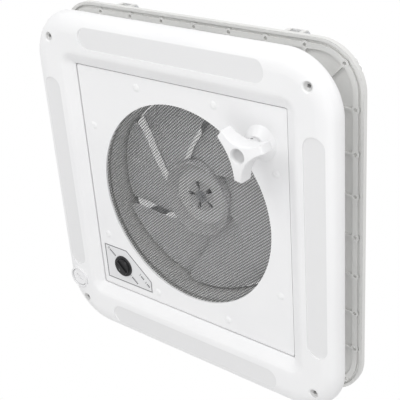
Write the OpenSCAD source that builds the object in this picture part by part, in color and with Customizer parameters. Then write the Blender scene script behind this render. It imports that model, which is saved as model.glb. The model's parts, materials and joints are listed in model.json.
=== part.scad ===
// Caravan roof vent for a square roof opening: a flanged base with a neck through the roof,
// a hinged lid raised by a crank, worm drive, lift arm and slide block, a fan in a round
// throat, an insect screen in a square plate, and a moulded trim frame on the cabin side.
// Frame: z = 0 is the roof's outer surface, +Z points out of the roof, +Y is the hinge side.
// Sizes are in millimetres.

/* [Roof opening and flange] */
// Side of the square hole in the roof
opening_w = 356; // [353:1:359]
// Space between the neck and the edge of the hole
neck_gap = 4; // [3:0.5:5]
// Wall of the neck
neck_wall = 3; // [2.5:0.5:3.5]
// Outer corner radius of the neck
neck_r = 14; // [12:1:16]
// Height of the neck's rim above the roof
neck_up = 34; // [32:1:36]
// Depth of the neck below the roof's outer surface
neck_down = 36; // [35:0.5:37]
// Width of the ledge inside the foot of the neck
ledge_w = 6; // [5:0.5:8]
// Reach of the flange beyond the neck
flange_reach = 38.5; // [37:0.5:41]
// Thickness of the flange plate
flange_t = 3; // [2:0.5:4]
// Depth of the lip, bead and ribs under the flange plate
rib_h = 3; // [2:0.5:4]
// Width of the ribs under the flange plate
rib_w = 2; // [1.5:0.5:3]
// Width of the lip at the flange's edge
lip_w = 3.5; // [3:0.5:4]
// Width of the bead that carries the roof screw holes
bead_w = 6; // [5.5:0.5:7]
// Distance from the flange's edge to the row of roof screw holes
hole_inset = 9.8; // [9:0.2:10.6]
// Distance from the start of a corner to the last hole of a side
hole_end = 16; // [14:1:20]
// Roof screw holes along a side, without the corners
holes_per_side = 7; // [5:2:7]
// Diameter of the roof screw holes
roof_hole_d = 4.4; // [4:0.2:5]

/* [Lid and hinge] */
// Reach of the lid beyond the neck
lid_reach = 23; // [21:0.5:25]
// Wall of the lid
lid_wall = 2.5; // [2:0.25:3]
// Height of the lid's lower edge above the roof
lid_edge_z = 11; // [10:0.5:13]
// Height of the lid's shoulder above the roof
lid_top_z = 52; // [51:0.5:54]
// Rounding of the lid's shoulder
lid_shoulder_r = 34; // [32:1:36]
// Rise of the crown above the shoulder
lid_crown = 8; // [6:1:12]
// Distance from the corner centres to the edge of the crowned panel
crown_inset = 10; // [6:1:20]
// Height of the hinge axis above the roof
hinge_z = 24; // [23:0.5:25]
// Distance from the lid's side to the hinge axis
hinge_off = 7; // [6.5:0.25:8]
// Distance of each hinge from the middle
hinge_x = 120; // [116:1:124]
// Outer radius of the hinge knuckles
knuckle_r = 5; // [4.5:0.25:5.5]
// Diameter of the hinge pins
hinge_pin_d = 5; // [4:0.5:6]
// Width of the lid's lug between the two ears
lug_w = 12; // [10:1:14]
// Thickness of each ear
ear_t = 5; // [4:0.5:6]
// Diameter of the hollow bulb of the lid's seal
seal_bulb_d = 8; // [7:0.5:9]
// Thickness of the seal's grip on the neck's rim
seal_grip_t = 1.5; // [1:0.25:2]

/* [Fan] */
// Diameter of the throat and of the screen opening
throat_d = 249; // [246:1:252]
// Wall of the throat
throat_wall = 3; // [2:0.5:4]
// Height of the throat's upper edge above the roof
throat_up = 2; // [0:0.5:3]
// Thickness of the deck that carries the throat
deck_t = 2.5; // [2:0.25:3]
// Number of fan blades
blades = 6; // [5:1:7]
// Gap between the blade tips and the throat
tip_gap = 4; // [3:0.5:6]
// Height of the lowest blade edge, below the roof
blade_low_z = -16; // [-18:0.5:-15]
// Axial height of a blade
blade_h = 13; // [12:0.5:15]
// Thickness of a blade
blade_t = 1.8; // [1.4:0.2:2.4]
// Share of its pitch that a blade fills
blade_fill = 0.97; // [0.9:0.01:0.98]
// Angle by which a blade's root lies behind its tip
blade_sweep = 34; // [28:1:38]
// Diameter of the hub
hub_d = 93; // [90:1:96]
// Depth of the hub's open rim below the roof
hub_down = 20; // [19:0.5:21]
// Diameter of the floor of the hub's cup
hub_floor_d = 72; // [68:1:76]
// Depth of the hub's cup
hub_cup = 11; // [9:0.5:12]
// Diameter of the motor
motor_d = 58; // [54:1:62]
// Length of the motor
motor_l = 32; // [28:1:34]
// Diameter of the motor's shaft
motor_shaft_d = 6; // [5:0.5:7]
// Height of the motor bracket's lower face above the roof
bracket_z = 8; // [7.5:0.5:9]
// Thickness of the motor bracket
bracket_t = 4; // [3:0.5:5]
// Width of the bracket's arms
bracket_w = 14; // [12:1:16]

/* [Screen plate] */
// Width of the plate beside the screen opening
plate_margin = 25.5; // [25:0.5:27]
// Thickness of the plate
plate_t = 2.5; // [2:0.25:3]
// Depth of the plate's face below the roof
plate_down = 42; // [41:0.5:43]
// Wire pitch of the screen's form
net_pitch = 13; // [12.5:0.5:16]
// Thickness of one layer of wire
wire_t = 0.3; // [0.2:0.05:0.4]
// Width of the ring that clamps the screen
clamp_w = 10; // [9:0.5:12]
// Thickness of the clamp ring
clamp_t = 2.5; // [2:0.25:3]
// Distance from the plate's edge to the snap posts
post_edge = 16; // [13:0.5:17]
// Distance of the side snap posts from the plate's middle, along its edge
post_side = 75; // [70:1:78]
// The same, for the posts on the hinge side and opposite
post_end = 56; // [52:1:60]

/* [Crank and drive] */
// Distance from the plate's edge to the crank axis, across
crank_edge_x = 34; // [32:0.5:36]
// Distance from the plate's edge to the crank axis, along
crank_edge_y = 44; // [42:0.5:46]
// Diameter of the crank shaft
crank_d = 8; // [7:0.5:9]
// Height of the moulded boss round the crank
boss_h = 9; // [7:0.5:11]
// Distance from the plate's face to the top of the knob
knob_reach = 41; // [39:0.5:43]
// Thickness of the knob at its middle
knob_t = 20; // [18:0.5:22]
// Fall of the knob's domed face from its middle to the lobe ends
knob_dome = 4; // [3:0.25:5]
// Distance from the knob's axis to the end of a lobe
lobe_end = 31.4; // [29:0.2:33]
// Width of a lobe at its end
lobe_w = 9.6; // [9:0.2:10.4]
// Radius of the hollow flank between two lobes
flank_r = 46.6; // [45:0.2:48]
// Distance from the knob's axis to the nearest point of a flank
flank_near = 12.6; // [12:0.2:14]
// Diameter of the dish in the knob's face
dimple_d = 18; // [15:0.5:20]
// Depth of the dish
dimple_h = 6.5; // [5:0.25:7]
// Tooth module of the worm drive
gear_m = 1.5; // [1.4:0.05:1.55]
// Teeth on the worm wheel
wheel_teeth = 20; // [18:1:20]
// Pitch radius of the worm
worm_r = 7; // [6.8:0.1:7.4]
// Face width of the worm wheel
wheel_w = 6; // [5:0.5:6.5]
// Length of the worm
worm_l = 20; // [18:1:22]
// Wall of the drive's housing
case_wall = 3; // [2.75:0.25:3.5]
// Width of the lift arm
arm_w = 12; // [10:0.5:14]
// Thickness of the lift arm
arm_t = 4; // [3:0.5:5]
// Diameter of the pin that carries the slide block
slide_pin_d = 5; // [4:0.5:6]
// Length of the slide block along its track
block_l = 14; // [12:1:18]
// Height of the slide block
block_h = 12; // [10:0.5:13]
// Width of the slide block
block_w = 10; // [8:0.5:12]
// Sheet thickness of the lid's track
track_t = 2; // [1.5:0.25:2.5]
// Largest opening angle of the lid, which sets the track's length
lid_angle = 70; // [60:1:75]

/* [Switch and label] */
// Distance from the plate's edge to the switch axis, across
switch_edge_x = 37; // [35:0.5:39]
// Distance from the plate's edge to the switch axis, along
switch_edge_y = 34; // [32:0.5:36]
// Diameter of the switch bezel
bezel_d = 29; // [26:0.5:32]
// Diameter of the switch knob
switch_knob_d = 22; // [20:0.5:24]
// Height of the switch knob
switch_knob_h = 4; // [3.5:0.25:6]
// Diameter of the switch's threaded bush
bush_d = 10; // [8:0.5:12]
// Side of the switch body behind the plate
switch_w = 28; // [26:0.5:30]
// Depth of the switch body
switch_depth = 20; // [16:1:24]
// Length of the label
label_w = 79; // [76:0.5:82]
// Height of the label
label_h = 51; // [48:0.5:54]
// Thickness of the label
label_t = 0.4; // [0.2:0.1:0.6]

/* [Trim frame] */
// Reach of the trim frame beyond the neck
garnish_reach = 40; // [38:0.5:42]
// Gap between the screen plate and the trim frame's opening
plate_gap = 1.2; // [1:0.1:2]
// Corner radius of its opening
garnish_in_r = 2; // [1:0.5:4]
// Depth of its face below the roof
garnish_down = 53; // [52:0.5:54]
// Depth of its back edge below the roof
garnish_back = 38; // [37:0.5:39]
// Wall of the trim frame
garnish_wall = 2.5; // [2:0.25:3]
// Distance from the opening's edge to the crest of its sloped wall
slope_w = 15; // [12:0.5:18]
// Width of the rounded outer part of the section
round_w = 24; // [20:0.5:28]
// Width of the long pads
pad_w = 26; // [22:0.5:28]
// Distance from the trim frame's edge to the end of a pad
pad_end = 83; // [80:1:90]
// Distance from the trim frame's edge to the middle of a pad
pad_inset = 26.5; // [25:0.5:28]
// Depth of the pads below the face
pad_depth = 1.3; // [0.8:0.1:1.6]
// Distance from the trim frame's edge to the corner screws
corner_inset = 32; // [31:0.5:34]
// Diameter of the corner screw holes
corner_hole_d = 4.4; // [4:0.2:5]
// Diameter of the dish round a corner screw
dish_d = 14; // [12:0.5:16]
// Distance from the trim frame's edge to the fuse cap's axis, across
fuse_edge_x = 24; // [23:0.5:25]
// Distance from the trim frame's edge to the fuse cap's axis, along
fuse_edge_y = 62; // [60:0.5:66]
// Diameter of the fuse cap
fuse_cap_d = 24; // [22:0.5:26]
// Width of the raised lip round the fuse cap
fuse_lip_w = 2; // [1.5:0.25:2.5]

/* [Fits] */
// Radial clearance of a shaft in its bore
run_fit = 0.05; // [0.03:0.01:0.08]
// Gap between faces that slide past each other
slide_gap = 0.3; // [0.3:0.05:0.5]
// Gap round a piece that drops into a frame
drop_gap = 0.5; // [0.4:0.05:0.8]

/* [Hidden] */
$fn = 96;
eps = 0.01;

// Plan of the base
neck_half = opening_w / 2 - neck_gap;
neck_in = neck_half - neck_wall;
corner_c = neck_half - neck_r;
flange_half = neck_half + flange_reach;
flange_top = rib_h + flange_t;
hole_half = flange_half - hole_inset;
hole_pitch = 2 * (corner_c - hole_end) / (holes_per_side - 1);
hole_corner = corner_c + (hole_half - corner_c) * cos(45);
hole_last = (holes_per_side - 1) / 2;
hole_boss_r = roof_hole_d / 2 + 2.3;
side_signs = [-1, 1];

// Heights inside the neck
ledge_t = neck_wall;
deck_low = -neck_down + ledge_t;
deck_top = deck_low + deck_t;
deck_half = neck_in - drop_gap;
plate_face = -plate_down;
plate_back = plate_face + plate_t;
throat_r = throat_d / 2;
plate_half = throat_r + plate_margin;
duct_screw_at = corner_c - 60;

// Axes of the crank and the switch, and rows of snap posts
crank_x = crank_edge_x - plate_half;
crank_y = plate_half - crank_edge_y;
switch_x = plate_half - switch_edge_x;
switch_y = switch_edge_y - plate_half;
post_far = plate_half - post_edge;

// Hinge and lift linkage. The arm is as long as the distance between its pivot and the hinge,
// so the lid turns through exactly half the arm's angle and the block runs straight to the hinge.
lid_half = neck_half + lid_reach;
hinge_y = lid_half + hinge_off;
gear_a = gear_m * wheel_teeth / 2 + worm_r;
pivot_y = crank_y - gear_a;
arm_l = hinge_y - pivot_y;
block_y = pivot_y - arm_l;
block_near_y = hinge_y - 2 * arm_l * cos(lid_angle);
crown_half = corner_c - crown_inset;
lid_under = lid_top_z - lid_wall;
hinge_bore_r = hinge_pin_d / 2 + run_fit;
ear_x = lug_w / 2 + slide_gap;

// Worm drive
wheel_r = gear_m * wheel_teeth / 2;
worm_lead = PI * gear_m;
worm_tip = worm_r + 0.93 * gear_m;
worm_root = worm_r - 1.07 * gear_m;
wheel_tip = gear_a - worm_root - 0.3;
wheel_root = gear_a - worm_tip - 0.5;
gear_clear = 1.2;
arm_shaft_d = crank_d;

// Housing of the drive: cavity and outside
cavity_x = wheel_w / 2 + 6;
cavity_low_y = pivot_y - wheel_tip - gear_clear;
cavity_high_y = crank_y + worm_tip + gear_clear;
cavity_low_z = hinge_z - wheel_tip - gear_clear;
cavity_high_z = hinge_z + wheel_tip + gear_clear;
case_x = cavity_x + case_wall;
arm_x = crank_x + case_x + 1.5;
block_x = arm_x + arm_t + drop_gap;
track_x = block_x + block_w + drop_gap;
track_half = block_h / 2 + slide_gap;
foot_half = crank_d / 2 + 7;
foot_t = 3;
foot_ear = 9;
case_screw_d = 2;
slot_end = 14;
slot_gap = 10;

// Fan
blade_tip = throat_r - tip_gap;
hub_r = hub_d / 2;
hub_low = -hub_down;
hub_floor = hub_low + hub_cup;
hub_web = 3;
hub_high = blade_low_z + blade_h + 2;
post_r = 5.5;
post_peg_r = 3;
post_bore = 12;
post_circle = throat_r + throat_wall + post_r - 1;
ring_foot_t = 2;
ring_foot_w = 5;
post_angles = [90, 210, 330];
bracket_top = bracket_z + bracket_t;
motor_top = bracket_top + motor_l;
motor_screw_r = motor_d / 2 - 11;

// Screen
net_low = plate_back;
net_high = net_low + 2 * wire_t;
net_r = throat_r + 3;
clamp_top = net_high + clamp_t;
stake_circle = throat_r + clamp_w - 3;
stake_r = 1.5;
snap_pin_r = 2.2;
snap_points = concat(
    [for (x = side_signs, y = side_signs) [x * post_far, y * post_side]],
    [for (x = side_signs, y = side_signs) [x * post_end, y * (post_far + 2)]]);

// Knob
knob_face = plate_face - knob_reach;
knob_back = knob_face + knob_t;
boss_face = plate_face - boss_h;
boss_top_r = crank_d / 2 + 7;
dome_r = (pow(lobe_end, 2) + pow(knob_dome, 2)) / (2 * knob_dome);
dimple_r = (pow(dimple_d / 2, 2) + pow(dimple_h, 2)) / (2 * dimple_h);
grub_d = 3.5;
grub_z = (knob_back + boss_face) / 2;

// Switch and label
label_face = plate_face - label_t;
bezel_t = 2;
bezel_face = label_face - bezel_t;
label_right = switch_x + 31;
label_low = switch_y - 25;

// Trim frame, as a section measured outwards from the corner centre
garnish_half = neck_half + garnish_reach;
garnish_c = plate_half + plate_gap - garnish_in_r;
garnish_out = garnish_half - garnish_c;
round_mid = garnish_out - round_w;
garnish_face = -garnish_down;
garnish_rear = -garnish_back;
round_h = garnish_down - garnish_back;
crest = garnish_in_r + slope_w;
crest_drop = 0.8;
rim_face = plate_face - 1.5;
rim_back = plate_face + 2;
collar_in = neck_half + slide_gap;
collar_h = 12;
stop_at = corner_c - 50;
corner_half = garnish_half - corner_inset;
pad_mid = garnish_half - pad_inset;
pad_l = 2 * (garnish_half - pad_end);
fuse_x = garnish_half - fuse_edge_x;
fuse_y = fuse_edge_y - garnish_half;
fuse_floor = garnish_face + 1;
fuse_depth = garnish_rear - fuse_floor - 0.5;
fuse_cup = 8;
fuse_well_r = fuse_cap_d / 2 + drop_gap;
fuse_lip_face = garnish_face - 1.8;

// Shared shapes

// Square with round corners
module rounded_square(half, r) {
    square([2 * half, 2 * (half - r)], center = true);
    square([2 * (half - r), 2 * half], center = true);
    for (x = side_signs, y = side_signs)
        translate([x * (half - r), y * (half - r)]) circle(r);
}

// Square ring whose corners share the neck's corner centres
module square_ring(outer, inner, h) {
    linear_extrude(h) difference() {
        rounded_square(outer, max(outer - corner_c, 1));
        rounded_square(inner, max(inner - corner_c, 1));
    }
}

// Section carried round a square with corner centres at +-c; x = 0 of the section lies at c
module sweep_square(c) {
    for (a = [0 : 90 : 270]) rotate(a) {
        translate([c, c, 0]) rotate_extrude(angle = 90) children();
        translate([c, c, 0]) rotate([90, 0, 0]) linear_extrude(2 * c) children();
    }
}

// Bar with round ends, from the origin along x
module round_bar(l, w) {
    translate([0, -w / 2]) square([l, w]);
    circle(w / 2);
    translate([l, 0]) circle(w / 2);
}

// Axis along +X through a point of the YZ plane
module along_x(x, y, z) {
    translate([x, y, z]) rotate([0, 90, 0]) children();
}

// Flat shape drawn in Y and Z, thickened along +X
module side_plate(x, t) {
    translate([x, 0, 0]) rotate([90, 0, 90]) linear_extrude(t) children();
}

// Pan head screw with its seat at the origin; the head stands along +Z
module screw(d, l) {
    translate([0, 0, -l]) cylinder(d = d, h = l + eps);
    difference() {
        cylinder(r1 = d, r2 = 0.7 * d, h = 0.6 * d);
        translate([-d, -0.1 * d, 0.35 * d]) cube([2 * d, 0.2 * d, d]);
    }
}

// Base

function roof_holes() = concat(
    [for (s = side_signs, k = [-hole_last : hole_last]) [k * hole_pitch, s * hole_half]],
    [for (s = side_signs, k = [-hole_last : hole_last]) [s * hole_half, k * hole_pitch]],
    [for (x = side_signs, y = side_signs) [x * hole_corner, y * hole_corner]]);

// Short ribs from the neck to each screw hole, under the flange plate
module flange_ribs() {
    reach = hole_half - neck_half;
    for (a = [0 : 90 : 270]) rotate(a) {
        for (k = [-hole_last : hole_last])
            translate([neck_half - eps, k * hole_pitch - rib_w / 2, 0]) cube([reach, rib_w, rib_h]);
        translate([corner_c, corner_c, 0]) rotate(45)
            translate([neck_r - eps, -rib_w / 2, 0]) cube([reach, rib_w, rib_h]);
    }
}

module hinge_ear(x) {
    translate([x, hinge_y - knuckle_r, flange_top - eps])
        cube([ear_t, 2 * knuckle_r, hinge_z - flange_top + eps]);
    along_x(x, hinge_y, hinge_z) cylinder(r = knuckle_r, h = ear_t);
}

module base_frame() {
    duct_holes = duct_screw_points();
    color([0.87, 0.87, 0.85]) difference() {
        union() {
            translate([0, 0, rib_h]) square_ring(flange_half, neck_in, flange_t);
            square_ring(flange_half, flange_half - lip_w, rib_h + eps);
            square_ring(hole_half + bead_w / 2, hole_half - bead_w / 2, rib_h + eps);
            flange_ribs();
            for (p = roof_holes()) translate(p) cylinder(r = hole_boss_r, h = rib_h + eps);
            translate([0, 0, -neck_down]) square_ring(neck_half, neck_in, neck_down + neck_up);
            translate([0, 0, -neck_down]) square_ring(neck_half, neck_in - ledge_w, ledge_t);
            for (s = side_signs) {
                hinge_ear(s * hinge_x + ear_x);
                hinge_ear(s * hinge_x - ear_x - ear_t);
            }
        }
        for (p = roof_holes()) translate([p[0], p[1], -1]) cylinder(d = roof_hole_d, h = flange_top + 2);
        for (s = side_signs)
            along_x(s * hinge_x - ear_x - ear_t - 1, hinge_y, hinge_z)
                cylinder(d = hinge_pin_d, h = 2 * (ear_x + ear_t + 1));
        for (p = duct_holes) translate([p[0], p[1], -neck_down - 1]) cylinder(d = 3, h = ledge_t + 2);
    }
}

// Push-on seal on the neck's rim, with a hollow bulb that the lid presses on
module lid_seal() {
    mid = neck_r - neck_wall / 2;
    grip = 8;
    bulb_r = seal_bulb_d / 2;
    color([0.16, 0.16, 0.17]) sweep_square(corner_c) translate([mid, neck_up]) difference() {
        union() {
            translate([-neck_wall / 2 - seal_grip_t, -grip])
                square([neck_wall + 2 * seal_grip_t, grip + seal_grip_t]);
            translate([0, seal_grip_t + bulb_r - 0.6]) circle(bulb_r, $fn = 24);
        }
        translate([-neck_wall / 2, -grip - 1]) square([neck_wall, grip + 1]);
        translate([0, seal_grip_t + bulb_r - 0.6]) circle(bulb_r - 1.4, $fn = 24);
    }
}
seal_top = neck_up + seal_grip_t + seal_bulb_d - 0.6;

module hinge_pins() {
    reach = ear_x + ear_t;
    color([0.72, 0.73, 0.75]) for (s = side_signs)
        along_x(s * hinge_x - reach - 1, hinge_y, hinge_z) {
            cylinder(d = hinge_pin_d, h = 2 * reach + 2);
            translate([0, 0, -1]) cylinder(r = hinge_pin_d / 2 + 1, h = 2);
        }
}

// Fan housing

function duct_screw_points() = let (d = deck_half - ledge_w / 2 + drop_gap, e = duct_screw_at)
    concat([for (x = side_signs, y = side_signs) [x * d, y * e]],
           [for (x = side_signs, y = side_signs) [x * e, y * d]]);
function foot_screw_points() = [for (s = side_signs) [crank_x + s * (foot_half + foot_ear / 2), crank_y]];
function post_points() = [for (a = post_angles) post_circle * [cos(a), sin(a)]];

// Deck on the ledge inside the neck, with the fan's opening
module fan_deck() {
    switch_cut = switch_w + 2;
    color([0.9, 0.9, 0.89]) translate([0, 0, deck_low]) linear_extrude(deck_t) difference() {
        rounded_square(deck_half, max(deck_half - corner_c, 1));
        circle(throat_r);
        for (p = duct_screw_points()) translate(p) circle(d = 3);
        for (p = snap_points) translate(p) circle(snap_pin_r + run_fit);
        for (p = post_points()) translate(p) circle(post_peg_r);
        for (p = foot_screw_points()) translate(p) circle(d = 4);
        translate([crank_x, crank_y]) circle(crank_d / 2 + 3);
        translate([switch_x, switch_y]) square(switch_cut, center = true);
    }
}

// Ring round the fan with a foot on the deck, and three posts for the motor's bracket
module throat_ring() {
    color([0.9, 0.9, 0.89]) difference() {
        union() {
            translate([0, 0, deck_top]) cylinder(r = throat_r + throat_wall, h = throat_up - deck_top);
            translate([0, 0, deck_top]) cylinder(r = throat_r + throat_wall + ring_foot_w, h = ring_foot_t);
            for (p = post_points()) translate([p[0], p[1], deck_top]) {
                cylinder(r = post_r, h = bracket_z - deck_top);
                translate([0, 0, -deck_t]) cylinder(r = post_peg_r, h = deck_t + eps);
            }
        }
        translate([0, 0, deck_top - 1]) cylinder(r = throat_r, h = bracket_z - deck_top + 2);
        for (p = post_points()) translate([p[0], p[1], bracket_z - post_bore])
            cylinder(d = 4, h = post_bore + 1);
    }
}

module duct_screws() {
    color([0.75, 0.76, 0.78]) for (p = duct_screw_points())
        translate([p[0], p[1], deck_top]) screw(3, deck_t + ledge_t);
}

// Three-armed bracket across the throat
module motor_bracket() {
    rib_w = 4;
    rib_h = 2.5;
    seat_r = motor_d / 2 + 4;
    color([0.8, 0.81, 0.82]) translate([0, 0, bracket_z]) {
        linear_extrude(bracket_t) difference() {
            union() {
                circle(seat_r);
                for (a = post_angles) rotate(a) {
                    translate([0, -bracket_w / 2]) square([post_circle, bracket_w]);
                    translate([post_circle, 0]) circle(bracket_w / 2);
                }
            }
            circle(d = motor_shaft_d + 10.5);
            for (p = post_points()) translate(p) circle(d = 4);
            for (s = side_signs) translate([s * motor_screw_r, 0]) circle(d = 4);
        }
        for (a = post_angles) rotate(a) translate([seat_r - 1, -rib_w / 2, bracket_t / 2])
            cube([post_circle - seat_r - bracket_w, rib_w, bracket_t / 2 + rib_h]);
    }
}

module bracket_screws() {
    color([0.75, 0.76, 0.78]) for (p = post_points())
        translate([p[0], p[1], bracket_top]) screw(4, bracket_t + post_bore);
}

// Motor can with a rolled shoulder and a bearing boss on top
module motor() {
    r = motor_d / 2;
    shoulder = 4;
    color([0.62, 0.63, 0.65]) difference() {
        rotate_extrude() {
            translate([0, bracket_top]) square([r, motor_l - shoulder]);
            translate([0, motor_top - shoulder - eps]) square([r - shoulder, shoulder]);
            translate([r - shoulder, motor_top - shoulder]) intersection() {
                circle(shoulder);
                square(shoulder);
            }
        }
        translate([0, 0, bracket_top - 1]) cylinder(r = motor_shaft_d / 2 + run_fit, h = motor_l - 3);
        for (s = side_signs) translate([s * motor_screw_r, 0, bracket_top - 1]) cylinder(d = 4, h = 9);
    }
}

module motor_screws() {
    color([0.75, 0.76, 0.78]) for (s = side_signs)
        translate([s * motor_screw_r, 0, bracket_z]) rotate([180, 0, 0]) screw(4, bracket_t + 7);
}

// One fan blade: a helical sheet of constant axial height, swept and cambered, with trimmed tip corners
module blade(a0) {
    nr = 8;
    nc = 12;
    root = hub_r - 1.2;
    span = 360 / blades * blade_fill;
    mid_z = blade_low_z + blade_h / 2;
    rise = blade_h - blade_t - 2;
    function pt(i, j, side) =
        let (r = root + (blade_tip - root) * i / nr,
             trim = i == nr ? 0.95 : i == nr - 1 ? 0.985 : 1,
             u = (j / nc - 0.5) * trim,
             a = a0 + span * u - blade_sweep * pow(1 - i / nr, 2),
             z = mid_z - rise * u + 1.6 * (1 - 4 * u * u) - 0.8 + side * blade_t / 2)
        [r * cos(a), r * sin(a), z];
    grid = [for (side = [1, -1], i = [0 : nr], j = [0 : nc]) pt(i, j, side)];
    n = (nr + 1) * (nc + 1);
    function at(i, j) = i * (nc + 1) + j;
    top = [for (i = [0 : nr - 1], j = [0 : nc - 1], t = [0, 1])
        t == 0 ? [at(i, j), at(i, j + 1), at(i + 1, j)] : [at(i, j + 1), at(i + 1, j + 1), at(i + 1, j)]];
    edge = concat([for (j = [0 : nc - 1]) at(0, j)], [for (i = [0 : nr - 1]) at(i, nc)],
                  [for (j = [nc : -1 : 1]) at(nr, j)], [for (i = [nr : -1 : 1]) at(i, 0)]);
    m = len(edge);
    walls = [for (k = [0 : m - 1], t = [0, 1])
        let (p = edge[k], q = edge[(k + 1) % m]) t == 0 ? [p, p + n, q] : [q, p + n, q + n]];
    polyhedron(grid, concat(top, [for (f = top) [f[2] + n, f[1] + n, f[0] + n]], walls), convexity = 4);
}

// Fan: hub with a tapered cup towards the cabin and slots round its boss, and the blades
module fan_rotor() {
    boss = motor_shaft_d / 2 + 5;
    rim = 1.5;
    slot_w = 4;
    slot_l = 10;
    first_blade = 13;
    color([0.8, 0.81, 0.82]) difference() {
        union() {
            rotate_extrude() polygon([[0, hub_floor], [hub_floor_d / 2, hub_floor], [hub_r - rim, hub_low],
                [hub_r, hub_low], [hub_r, hub_high], [hub_r - 3, hub_high], [hub_r - 3, hub_floor + hub_web],
                [boss, hub_floor + hub_web], [boss, hub_high], [0, hub_high]]);
            for (k = [0 : blades - 1]) blade(first_blade + k * 360 / blades);
        }
        translate([0, 0, hub_low]) cylinder(d = motor_shaft_d, h = hub_high - hub_low + 1);
        for (a = [0 : 72 : 288]) rotate(a) translate([boss + 1, -slot_w / 2, hub_floor - 1])
            cube([slot_l, slot_w, hub_web + 2]);
    }
}

module motor_shaft() {
    low = hub_floor - 3;
    color([0.78, 0.79, 0.8]) translate([0, 0, low])
        cylinder(d = motor_shaft_d, h = bracket_top + motor_l - 6 - low);
}

// Spring clip that holds the hub on the shaft
module rotor_clip() {
    color([0.3, 0.3, 0.32]) difference() {
        translate([0, 0, hub_floor - 1.5]) cylinder(r = motor_shaft_d / 2 + 4, h = 1.5);
        translate([0, 0, hub_floor - 3]) cylinder(d = motor_shaft_d, h = 4);
        for (a = [0 : 60 : 300]) rotate(a) translate([motor_shaft_d / 2 + 0.6, -0.4, hub_floor - 3])
            cube([2, 0.8, 4]);
    }
}

// Lid drive

module operator_housing() {
    out_low_y = cavity_low_y - case_wall;
    out_high_y = cavity_high_y + case_wall;
    out_low_z = cavity_low_z - case_wall;
    out_high_z = cavity_high_z + case_wall;
    wall_x = crank_x - cavity_x;
    color([0.83, 0.84, 0.84]) difference() {
        union() {
            translate([wall_x, out_low_y, out_low_z])
                cube([cavity_x + case_x, out_high_y - out_low_y, out_high_z - out_low_z]);
            translate([crank_x, crank_y, deck_top]) cylinder(r = foot_half, h = out_low_z - deck_top + eps);
            translate([crank_x, crank_y, deck_top]) linear_extrude(foot_t)
                translate([-foot_half - foot_ear / 2, 0]) round_bar(2 * foot_half + foot_ear, foot_ear);
            along_x(arm_x - 1.5, pivot_y, hinge_z) cylinder(r = arm_shaft_d / 2 + 3, h = 1.2);
        }
        translate([wall_x - 1, cavity_low_y, cavity_low_z])
            cube([2 * cavity_x + 1, cavity_high_y - cavity_low_y, cavity_high_z - cavity_low_z]);
        translate([crank_x, crank_y, deck_top - 1]) cylinder(r = crank_d / 2 + 3, h = out_low_z - deck_top);
        translate([crank_x, crank_y, out_low_z - 2]) cylinder(r = crank_d / 2 + run_fit, h = case_wall + 4);
        translate([crank_x, crank_y, cavity_high_z - 1]) cylinder(r = crank_d / 2 + run_fit, h = case_wall);
        along_x(crank_x, pivot_y, hinge_z) cylinder(r = arm_shaft_d / 2 + run_fit, h = case_x + 4);
        for (p = foot_screw_points()) translate([p[0], p[1], deck_top - 1]) cylinder(d = 4, h = foot_t + 2);
        for (p = case_screw_points()) along_x(wall_x - 1, p[0], p[1]) cylinder(d = case_screw_d, h = 9);
    }
}
function case_screw_points() =
    [for (y = [cavity_low_y + 3, cavity_high_y - 3],
        z = [cavity_low_z - case_wall / 2, cavity_high_z + case_wall / 2])
        [y, z]];

module operator_cover() {
    t = case_wall;
    low_y = cavity_low_y - case_wall;
    low_z = cavity_low_z - case_wall;
    wall_x = crank_x - cavity_x;
    color([0.83, 0.84, 0.84]) difference() {
        union() {
            translate([wall_x - t, low_y, low_z])
                cube([t, cavity_high_y - cavity_low_y + 2 * t, cavity_high_z - cavity_low_z + 2 * t]);
            along_x(wall_x - eps, pivot_y, hinge_z) cylinder(r = arm_shaft_d / 2 + 2.5, h = 2.5);
        }
        along_x(wall_x - t / 2, pivot_y, hinge_z) cylinder(r = arm_shaft_d / 2 + run_fit, h = t + 4);
        for (p = case_screw_points()) along_x(wall_x - t - 1, p[0], p[1])
            cylinder(d = case_screw_d, h = t + 2);
    }
}

module operator_screws() {
    wall_x = crank_x - cavity_x - case_wall;
    color([0.75, 0.76, 0.78]) {
        for (p = foot_screw_points()) translate([p[0], p[1], deck_top + foot_t]) screw(4, deck_t + foot_t);
        for (p = case_screw_points()) translate([wall_x, p[0], p[1]]) rotate([0, -90, 0])
            screw(case_screw_d, case_wall + 7);
    }
}

module crank_shaft() {
    low = knob_face + 9;
    color([0.7, 0.71, 0.73]) translate([crank_x, crank_y, low])
        cylinder(d = crank_d, h = cavity_high_z + case_wall - 1.5 - low);
}

// Single-start right-hand worm: a thread of trapezoid section, facing the wheel at the pivot's height
module worm() {
    sides = 24;
    turns = worm_l / worm_lead;
    tip_half = 0.3 * gear_m;
    root_half = 0.75 * gear_m;
    low = hinge_z - worm_l / 2;
    function radius(s) =
        s < tip_half ? worm_tip
        : s > root_half ? worm_root
        : worm_tip - (worm_tip - worm_root) * (s - tip_half) / (root_half - tip_half);
    section = [for (k = [0 : sides - 1])
        let (a = 360 * k / sides, s = min(a, 360 - a) / 360 * worm_lead) radius(s) * [cos(a), sin(a)]];
    color([0.93, 0.92, 0.88]) difference() {
        translate([crank_x, crank_y, low]) rotate(-90 - 180 * turns)
            linear_extrude(worm_l, twist = -360 * turns, slices = round(14 * turns), $fn = 4)
                polygon(section);
        translate([crank_x, crank_y, low - 1]) cylinder(d = crank_d, h = worm_l + 2);
    }
}

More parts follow.
